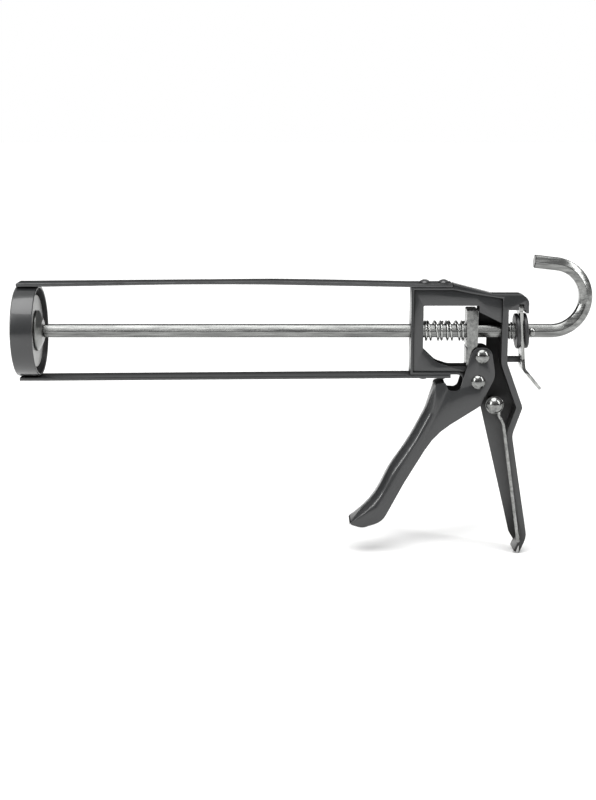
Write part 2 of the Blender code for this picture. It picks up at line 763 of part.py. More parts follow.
# ---- Drive springs: two coil springs in series between the seat and the block ----
def spring(name, start, end, mean_radius, wire, end_turns, free_turns, finish=SPRING_STEEL):
    """A compression spring along x with closed turns at both ends."""
    per_turn = 14
    turns = 2 * end_turns + free_turns
    closed = wire * 1.12
    first, last = start + wire / 2, end - wire / 2
    free_pitch = (last - first - 2 * end_turns * closed) / free_turns
    points = []
    for k in range(round(turns * per_turn) + 1):
        turn = k / per_turn
        x = first + closed * min(turn, end_turns)
        x += free_pitch * min(max(turn - end_turns, 0), free_turns)
        x += closed * max(turn - end_turns - free_turns, 0)
        angle = 2 * math.pi * turn
        points.append((x, mean_radius * math.cos(angle), mean_radius * math.sin(angle)))
    made = add_part(name, bar(points, wire / 2, 2), finish)
    smooth(made, 60)
    return made


spring_start = SEAT_X + FIT
spring_end = DRIVER_FRONT - FIT
spring_middle = (spring_start + spring_end) / 2
for name, start, end in (
    ("drive_spring_front", spring_start, spring_middle - FIT / 2),
    ("drive_spring_rear", spring_middle + FIT / 2, spring_end),
):
    spring(name, start, end, SPRING_RADIUS, SPRING_WIRE, SPRING_END_TURNS, SPRING_FREE_TURNS)

# ---- Trigger: a pressed channel whose cheeks straddle the frame ----
trigger_pivot = joint_empty("trigger_pivot_axis", PIVOT)
lobe = 0.0056
spine = [
    (-0.0208, -0.0004, 0.0012),
    (-0.0268, -0.0014, 0.0024),
    (-0.0335, -0.0200, 0.045),
    (-0.0440, -0.0405, 0.150),
    (-0.0560, -0.0575, 0.070),
    (-0.0655, -0.0775, 0.060),
    (-0.0815, -0.0943, 0.0011),
    (-0.0730, -0.0968, 0.008),
    (-0.0600, -0.0925, 0.012),
]
cheek = [
    (-0.0460, -0.0660, 0.090),
    (-0.0270, -0.0340, 0.050),
    (0.0016, -0.0156, 0.0015),
    (0.0109, 0.0040, 0.014),
    (PUSH_PIN_X + lobe, PUSH_PIN_Z + lobe, lobe),
    (PUSH_PIN_X - lobe, PUSH_PIN_Z + lobe, lobe),
    (-0.0084, 0.0060, 0.004),
    (-0.0118, -0.0060, 0.0035),
    (-0.0188, -0.0056, 0.0025),
]
trigger_outline = rounded([*spine, *cheek])


def rolled_share(z):
    """How far the front is rolled over at a height: fully, easing out at lip and toe."""
    toe = (z + 0.0915) / 0.0140
    lip_end = (-0.0045 - z) / 0.0090
    share = min(max(min(toe, lip_end), 0), 1)
    return share * share * (3 - 2 * share)


def rolled_channel(outline, front_count, half_width, radius):
    """A prism of an outline whose front points draw in towards both sides in an arc."""
    steps = 5
    inner = offset(outline, radius, closed=True)
    rows = []
    for k in range(steps + 1):
        angle = math.radians(90) * k / steps
        rows.append((half_width - radius * (1 - math.sin(angle)), 1 - math.cos(angle)))
    rows = [(-y, share) for y, share in rows[::-1]] + rows
    work = bmesh.new()
    loops = []
    for y, share in rows:
        loop = []
        for i, (here, inside) in enumerate(zip(outline, inner)):
            drawn = share * rolled_share(here.y) if i < front_count else 0
            point = here.lerp(inside, drawn)
            loop.append(work.verts.new((point.x, y, point.y)))
        loops.append(loop)
    for low, high in zip(loops, loops[1:]):
        for k in range(len(outline)):
            following = (k + 1) % len(outline)
            work.faces.new((low[k], low[following], high[following], high[k]))
    work.faces.new(loops[0][::-1])
    work.faces.new(loops[-1])
    bmesh.ops.dissolve_limit(
        work, angle_limit=math.radians(0.05), verts=work.verts, edges=work.edges
    )
    bmesh.ops.triangulate(work, faces=work.faces)
    bmesh.ops.recalc_face_normals(work, faces=work.faces)
    mesh = bpy.data.meshes.new("channel")
    work.to_mesh(mesh)
    work.free()
    return mesh


front_path = rounded(spine[:7], closed=False)[1:-1]
front_count = 1 + next(
    i for i, point in enumerate(trigger_outline) if (point - front_path[-1]).length < 1e-7
)
trigger_body = rolled_channel(trigger_outline, front_count, CHEEK_OUTER, TRIGGER_ROUND)
trigger = add_part("trigger", trigger_body, PAINT, trigger_pivot)
inner_front = offset(front_path[3:], TRIGGER_WALL)[:-1]
cavity_outline = [
    *inner_front,
    Vector((-0.0765, -0.0921)),
    Vector((-0.0720, -0.0948)),
    Vector((-0.0600, -0.0902)),
    Vector((-0.0420, -0.0950)),
    Vector((-0.0100, -0.0400)),
    Vector((0.0150, -0.0250)),
    Vector((0.0250, 0)),
    Vector((0.0200, 0.0350)),
    Vector((-0.0140, 0.0350)),
    Vector((-0.0145, 0.0050)),
    Vector((-0.0190, 0.0025)),
    Vector((-0.0230, -0.0010)),
]
cavity_round = TRIGGER_ROUND - TRIGGER_WALL
combine(
    trigger, rolled_channel(cavity_outline, len(inner_front), CHEEK_INNER, cavity_round)
)
for x, z, radius in ((0, 0, PIVOT_RADIUS), (PUSH_PIN_X, PUSH_PIN_Z, PUSH_PIN_RADIUS)):
    combine(trigger, round_bar(radius + SHANK_GAP, -0.03, 0.03, (x, 0, z)))


# ---- Trigger rivets: domed on both cheeks ----
def cheek_rivet(name, radius, parent, at):
    edge = CHEEK_OUTER + FIT
    head = dome(RIVET_HEAD_RADIUS, RIVET_HEAD_HEIGHT, edge, 5)
    profile = [*head, (radius, edge), (radius, -edge), *[(r, -z) for r, z in head[::-1]]]
    made = add_part(name, turned(profile), ZINC, parent, at)
    smooth(made)


cheek_rivet("trigger_pivot_rivet", PIVOT_RADIUS, None, PIVOT)
cheek_rivet("push_pin", PUSH_PIN_RADIUS, trigger_pivot, (PUSH_PIN_X, 0, PUSH_PIN_Z))

# ---- Wire pivot: ball-headed rivet that also stops the trigger ----
eye_low = CHEEK_OUTER + FIT
head_base = eye_low + WIRE_DIAMETER + 2 * FIT
wire_rivet_profile = [
    *dome(WIRE_HEAD_RADIUS, WIRE_HEAD_HEIGHT, head_base, 6),
    (WIRE_PIVOT_SHANK, head_base),
    (WIRE_PIVOT_SHANK, -WEB_Y + FIT),
    (WIRE_PIVOT_SPIGOT, -WEB_Y + FIT),
    (WIRE_PIVOT_SPIGOT, -FRAME_HALF - 0.0001),
    (0, -FRAME_HALF - 0.0001),
]
wire_rivet = add_part(
    "wire_pivot_rivet", turned(wire_rivet_profile), ZINC, None, WIRE_PIVOT
)
smooth(wire_rivet)

# ---- Piercing wire: opens the cartridge seal, folds away along the handle ----
wire_pivot = joint_empty("wire_pivot_axis", WIRE_PIVOT)
wire_y = -(eye_low + FIT + WIRE_DIAMETER / 2)
eye_radius = WIRE_PIVOT_SHANK + 0.0004 + WIRE_DIAMETER / 2
leave = math.radians(-8)
wire_path = []
for k in range(17):
    angle = leave + math.radians(270) * (1 - k / 16)
    wire_path.append((eye_radius * math.cos(angle), wire_y, eye_radius * math.sin(angle)))
kink = Vector((0.0030, wire_y, -0.0068))
second = Vector((0.0061, wire_y, -0.0116))
tip_angle = math.atan2(0.0183, -0.0916)
tip = Vector((WIRE_REACH * math.sin(tip_angle), wire_y, WIRE_REACH * math.cos(tip_angle)))
wire_path += [kink, kink.lerp(second, 0.5), second]
wire_path += [second.lerp(tip, share / 6) for share in range(1, 7)]
wire = add_part("piercing_wire", bar(wire_path, WIRE_DIAMETER / 2, 2), ZINC, wire_pivot)
smooth(wire, 60)

# ---- Release lever: a plate that bites the rod, hung in the hood's notches ----
tilt = (0, math.radians(-LEVER_TILT_DEG), 0)
lever_pivot = joint_empty("release_lever_axis", LEVER_PIVOT, tilt)
tab = math.radians(LEVER_TAB_DEG)
lever_line = rounded([
    (-LEVER_THICKNESS / 2, LEVER_SHOULDER, 0),
    (-LEVER_THICKNESS / 2, -LEVER_DROP, 0.005),
    (-LEVER_THICKNESS / 2 + LEVER_TAB * math.sin(tab),
     -LEVER_DROP - LEVER_TAB * math.cos(tab), 0),
], closed=False)
lever_side = lever_line + offset(lever_line, LEVER_THICKNESS)[::-1]
lever = add_part("release_lever", sheet(lever_side, -0.012, 0.012), ZINC, lever_pivot)
foot = -LEVER_DROP - LEVER_TAB * math.cos(tab)
half = LEVER_WIDTH / 2
ears = FRAME_HALF + 0.0002
lever_plan = rounded([
    (-ears, LEVER_SHOULDER + 0.001, 0),
    (ears, LEVER_SHOULDER + 0.001, 0),
    (ears, -LEVER_SHOULDER, 0.0005),
    (half, -LEVER_SHOULDER - 0.001, 0.0005),
    (half, -LEVER_DROP + 0.0060, 0.006),
    (LEVER_TAB_WIDTH / 2, -LEVER_DROP - 0.0020, 0.006),
    (LEVER_TAB_WIDTH / 2, foot - 0.001, 0.005),
    (-LEVER_TAB_WIDTH / 2, foot - 0.001, 0.005),
    (-LEVER_TAB_WIDTH / 2, -LEVER_DROP - 0.0020, 0.006),
    (-half, -LEVER_DROP + 0.0060, 0.006),
    (-half, -LEVER_SHOULDER - 0.001, 0.0005),
    (-ears, -LEVER_SHOULDER, 0.0005),
])
plan = sheet(lever_plan, -0.03, 0.03)
plan.transform(Matrix.Rotation(math.radians(90), 4, "Z"))
combine(lever, plan, "INTERSECT")
rod_centre = -LEVER_PIVOT_Z / math.cos(tilt[1])
combine(lever, round_bar(BRAKE_HOLE_RADIUS, -0.006, 0.006, (0, 0, rod_centre), "X"))
slot_z = -0.0183 - LEVER_PIVOT_Z
combine(lever, box((-0.006, -0.0026, slot_z - 0.0032), (0.006, 0.0026, slot_z + 0.0032)))


def brake_disc(name, near_face, far_face):
    edge = 0.0005
    profile = [
        (BRAKE_DISC_RADIUS - edge, -near_face),
        (BRAKE_DISC_RADIUS, -near_face - edge),
        (BRAKE_DISC_RADIUS, -far_face + edge),
        (BRAKE_DISC_RADIUS - edge, -far_face),
        (BRAKE_HOLE_RADIUS, -far_face),
        (BRAKE_HOLE_RADIUS, -near_face),
    ]
    made = add_part(name, turned(profile, "X", 40), BLACK, lever_pivot, (0, 0, rod_centre))
    smooth(made)


disc_gap = LEVER_THICKNESS / 2 + FIT
brake_disc("brake_disc_front", -disc_gap - BRAKE_DISC_THICKNESS, -disc_gap)
brake_disc("brake_disc_rear", disc_gap, disc_gap + BRAKE_DISC_THICKNESS)

# ---- Release spring: holds the brake discs back from the rear wall ----
disc_front_x = LEVER_PIVOT.x - disc_gap - BRAKE_DISC_THICKNESS
spring("release_spring", REAR_X + FIT, disc_front_x - 0.0001, RELEASE_RADIUS, RELEASE_WIRE, 0.9, 1.2)

bpy.context.view_layer.update()
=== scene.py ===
"""Skeleton caulking gun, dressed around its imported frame.

Metres, +Z up. +X runs along the push rod from the front ring to the hook, and -Y is the
side with the piercing wire. Each section below is one piece, or one group of like pieces.
"""

import math

import bmesh
import bpy
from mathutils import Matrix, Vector


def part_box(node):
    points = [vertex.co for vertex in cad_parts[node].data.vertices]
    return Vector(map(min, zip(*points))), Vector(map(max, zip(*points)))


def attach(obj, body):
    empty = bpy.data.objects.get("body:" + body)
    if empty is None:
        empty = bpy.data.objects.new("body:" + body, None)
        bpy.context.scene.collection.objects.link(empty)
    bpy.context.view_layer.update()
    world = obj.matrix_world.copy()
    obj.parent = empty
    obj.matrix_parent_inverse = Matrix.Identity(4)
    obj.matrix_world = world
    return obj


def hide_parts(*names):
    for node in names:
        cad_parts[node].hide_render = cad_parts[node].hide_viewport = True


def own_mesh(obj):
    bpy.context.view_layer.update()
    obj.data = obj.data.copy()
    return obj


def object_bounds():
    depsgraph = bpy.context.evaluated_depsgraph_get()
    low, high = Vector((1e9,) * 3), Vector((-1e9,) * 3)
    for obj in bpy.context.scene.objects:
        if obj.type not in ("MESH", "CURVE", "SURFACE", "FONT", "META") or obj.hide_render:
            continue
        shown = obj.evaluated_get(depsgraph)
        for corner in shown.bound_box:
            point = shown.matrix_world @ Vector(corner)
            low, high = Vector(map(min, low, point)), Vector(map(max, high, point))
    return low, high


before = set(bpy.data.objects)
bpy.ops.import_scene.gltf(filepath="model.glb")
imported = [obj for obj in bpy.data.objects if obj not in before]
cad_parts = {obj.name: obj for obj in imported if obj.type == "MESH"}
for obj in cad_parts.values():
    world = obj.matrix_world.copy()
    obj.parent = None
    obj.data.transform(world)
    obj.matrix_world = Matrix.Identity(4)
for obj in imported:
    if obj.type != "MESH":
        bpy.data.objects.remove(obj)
cad_low, cad_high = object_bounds()

# ---- Studio table: camera, daylight tent and pale floor ----
# A small table with a white paper floor inside a light tent. A wide, soft light comes through
# the tent's roof, and a tall, narrow softbox stands at each end of the tool, in front.
camera_data = bpy.data.cameras.new("camera")
camera_data.lens = 60.84
camera_data.sensor_width = 36
camera = bpy.data.objects.new("camera", camera_data)
bpy.context.scene.collection.objects.link(camera)
camera.location = (0.1687, -0.8536, 0.1362)
camera.rotation_euler = (math.radians(78), 0, 0)
bpy.context.scene.camera = camera
bpy.context.scene.view_settings.view_transform = "Standard"


def linear(hex_colour):
    """A colour written as sRGB hex, turned to the linear values that shaders take."""
    channels = [int(hex_colour[k:k + 2], 16) / 255 for k in (1, 3, 5)]
    return (*[c / 12.92 if c <= 0.04045 else ((c + 0.055) / 1.055) ** 2.4 for c in channels], 1)


def add_node(tree, kind, options=None, inputs=None):
    """One shader node, with its options, and its inputs filled by values or by links."""
    node = tree.nodes.new("ShaderNode" + kind)
    for name, value in (options or {}).items():
        setattr(node, name, value)
    for name, value in (inputs or {}).items():
        if isinstance(value, bpy.types.NodeSocket):
            tree.links.new(value, node.inputs[name])
        else:
            node.inputs[name].default_value = value
    return node


def lamp(name, at, aim, size, watts):
    """A rectangular softbox that faces a point."""
    data = bpy.data.lights.new(name, "AREA")
    data.shape = "RECTANGLE"
    data.size, data.size_y = size
    data.energy = watts
    made = bpy.data.objects.new(name, data)
    bpy.context.scene.collection.objects.link(made)
    made.location = at
    made.rotation_mode = "QUATERNION"
    made.rotation_quaternion = (Vector(aim) - Vector(at)).to_track_quat("-Z", "Y")


lamp("front_left_softbox", (-0.75, -0.85, 0.60), (0.22, 0, -0.03), (0.12, 0.9), 8)
lamp("right_softbox", (1.15, -0.50, 0.55), (0.28, 0, -0.02), (0.10, 0.9), 5)
sky_data = bpy.data.lights.new("tent_roof", "SUN")
sky_data.energy = 2.7
sky_data.angle = math.radians(50)
sky = bpy.data.objects.new("tent_roof", sky_data)
bpy.context.scene.collection.objects.link(sky)
sky.rotation_euler = (math.radians(14), math.radians(-6), 0)

# The tent's cloth is bright overhead and dim near the table, with a white sheet behind.
tent = bpy.data.worlds.new("tent")
bpy.context.scene.world = tent
tent.use_nodes = True
tree = tent.node_tree
tree.nodes.clear()
way = add_node(tree, "TexCoord")
height = add_node(tree, "SeparateXYZ", None, {"Vector": way.outputs["Generated"]})
cloth = add_node(tree, "ValToRGB", None, {"Fac": height.outputs["Z"]})
cloth.color_ramp.elements[0].position = 0.10
cloth.color_ramp.elements[0].color = (0.03, 0.03, 0.03, 1)
cloth.color_ramp.elements[1].position = 0.75
cloth.color_ramp.elements[1].color = (0.60, 0.60, 0.60, 1)
seen = add_node(tree, "LightPath")
behind = add_node(tree, "MixRGB", None, {
    "Fac": seen.outputs["Is Camera Ray"],
    "Color1": cloth.outputs["Color"],
    "Color2": linear("#ffffff"),
})
glow = add_node(tree, "Background", None, {"Color": behind.outputs["Color"], "Strength": 1.0})
add_node(tree, "OutputWorld", None, {"Surface": glow.outputs["Background"]})

paper = bpy.data.materials.new("white_backdrop_paper")
paper.use_nodes = True
tree = paper.node_tree
grain = add_node(tree, "TexNoise", None, {"Scale": 400.0, "Detail": 3.0})
tone = add_node(tree, "MixRGB", None, {
    "Fac": grain.outputs["Fac"], "Color1": linear("#f4f4f3"), "Color2": linear("#f9f9f9")
})
tree.links.new(tone.outputs["Color"], tree.nodes["Principled BSDF"].inputs["Base Color"])
tree.nodes["Principled BSDF"].inputs["Roughness"].default_value = 0.9

floor_mesh = bpy.data.meshes.new("paper_floor")
work = bmesh.new()
bmesh.ops.create_grid(work, x_segments=8, y_segments=8, size=12)
work.to_mesh(floor_mesh)
work.free()
floor = bpy.data.objects.new("paper_floor", floor_mesh)
bpy.context.scene.collection.objects.link(floor)
floor.location = (0, 0, cad_low.z - 0.0002)
floor_mesh.materials.append(paper)

# ---- Front ring: the cartridge's front stop ----
# A band of steel rolled into a ring, with its front edge turned inwards as a lip that the
# cartridge's shoulder rests on. It is stove enamelled, as are the rails and the frame.
ENAMEL_PEEL = 0.0016         # orange peel left by the sprayed coat, crest to crest
ENAMEL_CLOUD = 0.028         # slow change of tone over the coat
ENAMEL_SPECK = 0.0024        # spacing of the dust nibs in the coat
EDGE_SCUFF = 0.006           # length of a rubbed patch along an edge
PAINTED_SHADE_REACH = 0.04          # walls nearer than this get painted shade


def grey_stoved_enamel():
    """Stoved grey enamel on pressed steel: a hard, even semi-gloss coat over a dark grey,
    with orange peel, a few dust nibs and paler lines where edges are rubbed. Deep inside the
    pressings, painted shade from ambient occlusion turns the colour nearly black, and the coat
    there is made matt and thin."""
    made = bpy.data.materials.new("grey_stoved_enamel")
    made.use_nodes = True
    tree = made.node_tree
    shader = tree.nodes["Principled BSDF"]
    place = add_node(tree, "TexCoord").outputs["Object"]
    cloud = add_node(tree, "TexNoise", None, {
        "Vector": place, "Scale": 1 / ENAMEL_CLOUD, "Detail": 3.0, "Roughness": 0.5,
    })
    peel = add_node(tree, "TexNoise", None, {
        "Vector": place, "Scale": 1 / ENAMEL_PEEL, "Detail": 2.0, "Roughness": 0.4,
    })
    nibs = add_node(tree, "TexVoronoi", None, {"Vector": place, "Scale": 1 / ENAMEL_SPECK})
    nib = add_node(tree, "MapRange", None, {
        "Value": nibs.outputs["Distance"], "From Min": 0.10, "From Max": 0.04,
    })
    coat = add_node(tree, "MixRGB", None, {
        "Fac": cloud.outputs["Fac"], "Color1": linear("#1f2021"), "Color2": linear("#272829"),
    })
    dusty = add_node(tree, "MixRGB", None, {
        "Color1": coat.outputs["Color"], "Color2": linear("#565758"),
    })
    nib_share = add_node(tree, "Math", {"operation": "MULTIPLY"}, {
        0: nib.outputs["Result"], 1: 0.35,
    })
    tree.links.new(nib_share.outputs["Value"], dusty.inputs["Fac"])
    edge = add_node(tree, "Attribute", {"attribute_name": "rubbed_edge"})
    scuff = add_node(tree, "TexNoise", None, {
        "Vector": place, "Scale": 1 / EDGE_SCUFF, "Detail": 5.0, "Roughness": 0.65,
    })
    rub = add_node(tree, "MapRange", None, {
        "Value": scuff.outputs["Fac"], "From Min": 0.38, "From Max": 0.66,
    })
    worn = add_node(tree, "Math", {"operation": "MULTIPLY"}, {
        0: rub.outputs["Result"], 1: edge.outputs["Fac"],
    })
    surface = add_node(tree, "MixRGB", None, {
        "Fac": worn.outputs["Value"],
        "Color1": dusty.outputs["Color"],
        "Color2": linear("#6b6c6d"),
    })
    # Painted shade: ambient occlusion paints the colour near black deep inside the pressings,
    # and there it also removes the coat and raises the roughness.
    hollow = add_node(tree, "AmbientOcclusion", {"samples": 8}, {"Distance": PAINTED_SHADE_REACH})
    light_reach = add_node(tree, "MapRange", None, {
        "Value": hollow.outputs["AO"], "From Min": 0.45, "From Max": 0.80,
    })
    painted_hollow_shade = add_node(tree, "MixRGB", None, {
        "Fac": light_reach.outputs["Result"],
        "Color1": linear("#080808"),
        "Color2": surface.outputs["Color"],
    })
    tree.links.new(painted_hollow_shade.outputs["Color"], shader.inputs["Base Color"])
    gloss = add_node(tree, "MapRange", None, {
        "Value": cloud.outputs["Fac"], "From Min": 0.3, "From Max": 0.7,
        "To Min": 0.28, "To Max": 0.38,
    })
    matt = add_node(tree, "MapRange", None, {
        "Value": light_reach.outputs["Result"], "To Min": 0.75, "To Max": 0.0,
    })
    rough = add_node(tree, "Math", {"operation": "MAXIMUM"}, {
        0: gloss.outputs["Result"], 1: matt.outputs["Result"],
    })
    tree.links.new(rough.outputs["Value"], shader.inputs["Roughness"])
    coat_out_of_shade = add_node(tree, "Math", {"operation": "MULTIPLY"}, {
        0: light_reach.outputs["Result"], 1: 0.42,
    })
    tree.links.new(coat_out_of_shade.outputs["Value"], shader.inputs["Coat Weight"])
    skin = add_node(tree, "Bump", None, {
        "Strength": 0.35, "Distance": 0.00006, "Height": peel.outputs["Fac"],
    })
    tree.links.new(skin.outputs["Normal"], shader.inputs["Normal"])
    shader.inputs["IOR"].default_value = 1.5
    shader.inputs["Coat Roughness"].default_value = 0.05
    return made


ENAMEL = grey_stoved_enamel()


def filleted(corners, radius, closed=False):
    """A path of 2-D corners, each turned into a small arc of up to that radius."""
    path = []
    last = len(corners) - 1
    for k, here in enumerate(corners):
        here = Vector(here)
        if not closed and k in (0, last):
            path.append(here)
            continue
        back = Vector(corners[k - 1]) - here
        ahead = Vector(corners[(k + 1) % len(corners)]) - here
        if min(back.length, ahead.length) < 1e-9:
            continue
        bend = math.pi - back.angle(ahead)
        if bend < math.radians(12):
            path.append(here)
            continue
        reach = min(radius * math.tan(bend / 2), 0.45 * min(back.length, ahead.length))
        start, end = here + back.normalized() * reach, here + ahead.normalized() * reach
        for step in range(5):
            share = step / 4
            path.append(
                start * (1 - share) ** 2 + here * 2 * share * (1 - share) + end * share ** 2
            )
    return path


def show(name, work, finish, body, slot, *stands_for):
    """A finished mesh becomes a piece: shaded, painted, and riding on its body."""
    mesh = bpy.data.meshes.new(name)
    bmesh.ops.recalc_face_normals(work, faces=work.faces)
    work.to_mesh(mesh)
    work.free()
    mesh.shade_smooth()
    mesh.set_sharp_from_angle(angle=math.radians(32))
    mesh.materials.append(finish)
    made = bpy.data.objects.new(name, mesh)
    bpy.context.scene.collection.objects.link(made)
    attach(made, body)
    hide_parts(*stands_for)
    return made


def turned(profile, at, axis, hollow=False, sides=96):
    """A turned piece: (radius, distance along the axis) points run round its section."""
    work = bmesh.new()
    turn = Vector(axis).to_track_quat("Z", "Y")
    rings = []
    for radius, height in profile:
        count = sides if radius > 1e-7 else 1
        rings.append([
            work.verts.new(Vector(at) + turn @ Vector((
                radius * math.cos(2 * math.pi * k / sides),
                radius * math.sin(2 * math.pi * k / sides),
                height,
            )))
            for k in range(count)
        ])
    for low, high in zip(rings, rings[1:] + rings[:1] if hollow else rings[1:]):
        for k in range(sides):
            corners = dict.fromkeys([
                low[k % len(low)],
                low[(k + 1) % sides % len(low)],
                high[(k + 1) % sides % len(high)],
                high[k % len(high)],
            ])
            if len(corners) > 2:
                work.faces.new(list(corners))
    return work


ring_low, ring_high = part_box("front_ring")
ring_radius = ring_high.z
ring_length = ring_high.x - ring_low.x
RING_WALL = 0.0016
RING_OPENING = 0.0215
ring_profile = filleted(
    [
        (ring_radius, 0),
        (ring_radius, ring_length),
        (ring_radius - RING_WALL, ring_length),
        (ring_radius - RING_WALL, RING_WALL),
        (RING_OPENING, RING_WALL),
        (RING_OPENING, 0),
    ],
    0.0007,
    closed=True,
)
show(
    "ring", turned(ring_profile, (ring_low.x, 0, 0), (1, 0, 0), hollow=True, sides=160),
    ENAMEL, "frame", "grey_enamel", "front_ring",
)


# ---- Rails: the two straps of the cradle ----
# Flat steel strap, sheared to length, bent to the cartridge and enamelled after shearing,
# so the coat rounds over every cut edge and thins there.
def pressed(node, edge, finish, body, slot, name):
    """A piece made from its node's own shape, with its sharp edges rounded over.

    The rounding stops where two short edges would meet, so it comes out far finer than asked
    on the frame, its cover, the release lever and the lower rail.
    """
    work = bmesh.new()
    work.from_mesh(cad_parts[node].data)
    bmesh.ops.remove_doubles(work, verts=work.verts, dist=0.000004)
    bmesh.ops.dissolve_limit(
        work, angle_limit=math.radians(1.0), verts=work.verts, edges=work.edges,
    )
    for face in work.faces:
        face.normal_update()
    sharp = [
        line for line in work.edges
        if len(line.link_faces) == 2 and line.calc_face_angle(0) > math.radians(28)
    ]
    tone_mask = work.faces.layers.float.new("rubbed_edge")
    rounded = bmesh.ops.bevel(
        work, geom=sharp, offset=edge, segments=2, profile=0.5, affect="EDGES",
        clamp_overlap=True, miter_outer="ARC",
    )
    for face in rounded["faces"]:
        face[tone_mask] = 1.0
    return show(name, work, finish, body, slot, node)


for node, name in (("top_rail", "upper_rail"), ("bottom_rail", "lower_rail")):
    pressed(node, 0.00035, ENAMEL, "frame", "grey_enamel", name)

# ---- Frame: shell, handle and hood in one pressing, and the cover plate ----
# The shell is a deep-drawn tray, open on the wire's side, whose rim runs down the back of the
# handle. The cover is a blanked plate set into the tray around the trigger's mechanism.
pressed("frame_shell", 0.0003, ENAMEL, "frame", "grey_enamel", "pressed_frame")
pressed("frame_cover", 0.00025, ENAMEL, "frame", "grey_enamel", "side_plate")


# ---- Rail rivets: two through each rail ----
# Low mushroom-headed steel rivets, set cold and enamelled over with the frame.
RAIL_RIVET_HEAD = 0.0018     # height of the domed head
RAIL_RIVET_SHANK = 0.0019    # radius between the heads
CLOSED_HEAD_RADIUS = 0.0029
CLOSED_HEAD_HEIGHT = 0.0009


def crown(radius, height, base, steps=10):
    """(radius, height) points over a domed head, from its middle down to its rim."""
    sphere = (radius ** 2 + height ** 2) / (2 * height)
    widest = math.asin(min(1, radius / sphere))
    return [
        (sphere * math.sin(widest * k / steps),
         base + height - sphere + sphere * math.cos(widest * k / steps))
        for k in range(steps + 1)
    ]


for rail, side in (("top_rail", 1), ("bottom_rail", -1)):
    for end in ("front", "rear"):
        node = rail + "_rivet_" + end
        low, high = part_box(node)
        middle = (low + high) / 2
        tall = high.z - low.z
        head = (high.x - low.x) / 2
        profile = [
            *crown(head, RAIL_RIVET_HEAD, tall - RAIL_RIVET_HEAD),
            (RAIL_RIVET_SHANK, tall - RAIL_RIVET_HEAD - 0.00002),
            (RAIL_RIVET_SHANK, CLOSED_HEAD_HEIGHT),
            *filleted(
                [(CLOSED_HEAD_RADIUS, CLOSED_HEAD_HEIGHT), (CLOSED_HEAD_RADIUS, 0), (0, 0)],
                0.0004,
            ),
        ]
        base = low.z if side > 0 else high.z
        show(
            node + "_set", turned(profile, (middle.x, 0, base), (0, 0, side), sides=48),
            ENAMEL, "frame", "grey_enamel", node,
        )

# ---- Push rod: hexagon bar bent into a hook ----
# Cold-drawn hexagon steel bar, turned down in front for the plunger and bent hot at the back,
# then barrel zinc plated. Drawing leaves faint lines along it.
ZINC_MOTTLE = 0.0022         # patches of the plating
ZINC_LINE = 0.0005           # drawing lines across the bar, drawn coarse enough to show
ROD_FLATS = 0.008
HOOK_START = 0.3298
HOOK_RADIUS = 0.02144        # a hair under the bend's 21.5 mm, so that it stays in its box
HOOK_TURN = math.radians(173.5)
HOOK_LEG = 0.0145
SPIGOT_RADIUS = 0.0032       # front end of the bar, turned down for the plunger
PEENED_RADIUS = 0.0045       # its tip, spread over the disc
PEENED_DEPTH = 0.0013


def zinc_plate(name, mid, pale, line_stretch, bump_height):
    """Bright zinc plate with a clear passivate: a soft grey metal, patchy in brightness, with
    the tool lines of the steel beneath still showing through it."""
    made = bpy.data.materials.new(name)
    made.use_nodes = True
    tree = made.node_tree
    shader = tree.nodes["Principled BSDF"]
    place = add_node(tree, "TexCoord").outputs["Object"]
    stretch = add_node(tree, "Mapping", None, {"Vector": place, "Scale": line_stretch})
    mottle = add_node(tree, "TexNoise", None, {
        "Vector": stretch.outputs["Vector"], "Scale": 1 / ZINC_MOTTLE, "Detail": 3.0,
        "Roughness": 0.55,
    })
    lines = add_node(tree, "TexNoise", None, {
        "Vector": stretch.outputs["Vector"], "Scale": 1 / ZINC_LINE, "Detail": 3.0,
        "Roughness": 0.6,
    })
    patches = add_node(tree, "MapRange", None, {
        "Value": mottle.outputs["Fac"], "From Min": 0.32, "From Max": 0.68,
    })
    colour = add_node(tree, "MixRGB", None, {
        "Fac": patches.outputs["Result"], "Color1": linear(mid), "Color2": linear(pale),
    })
    shade = add_node(tree, "MapRange", None, {
        "Value": lines.outputs["Fac"], "From Min": 0.3, "From Max": 0.7,
        "To Min": 0.62, "To Max": 1.0,
    })
    lined = add_node(tree, "VectorMath", {"operation": "SCALE"}, {
        0: colour.outputs["Color"], "Scale": shade.outputs["Result"],
    })
    tree.links.new(lined.outputs["Vector"], shader.inputs["Base Color"])
    gloss = add_node(tree, "MapRange", None, {
        "Value": mottle.outputs["Fac"], "From Min": 0.3, "From Max": 0.7,
        "To Min": 0.16, "To Max": 0.26,
    })
    tree.links.new(gloss.outputs["Result"], shader.inputs["Roughness"])
    relief = add_node(tree, "Bump", None, {
        "Strength": 0.4, "Distance": bump_height, "Height": lines.outputs["Fac"],
    })
    tree.links.new(relief.outputs["Normal"], shader.inputs["Normal"])
    shader.inputs["Metallic"].default_value = 1.0
    return made


ROD_ZINC = zinc_plate("zinc_plated_drawn_bar", "#696a69", "#9b9c9a", (0.06, 1, 1), 0.00004)


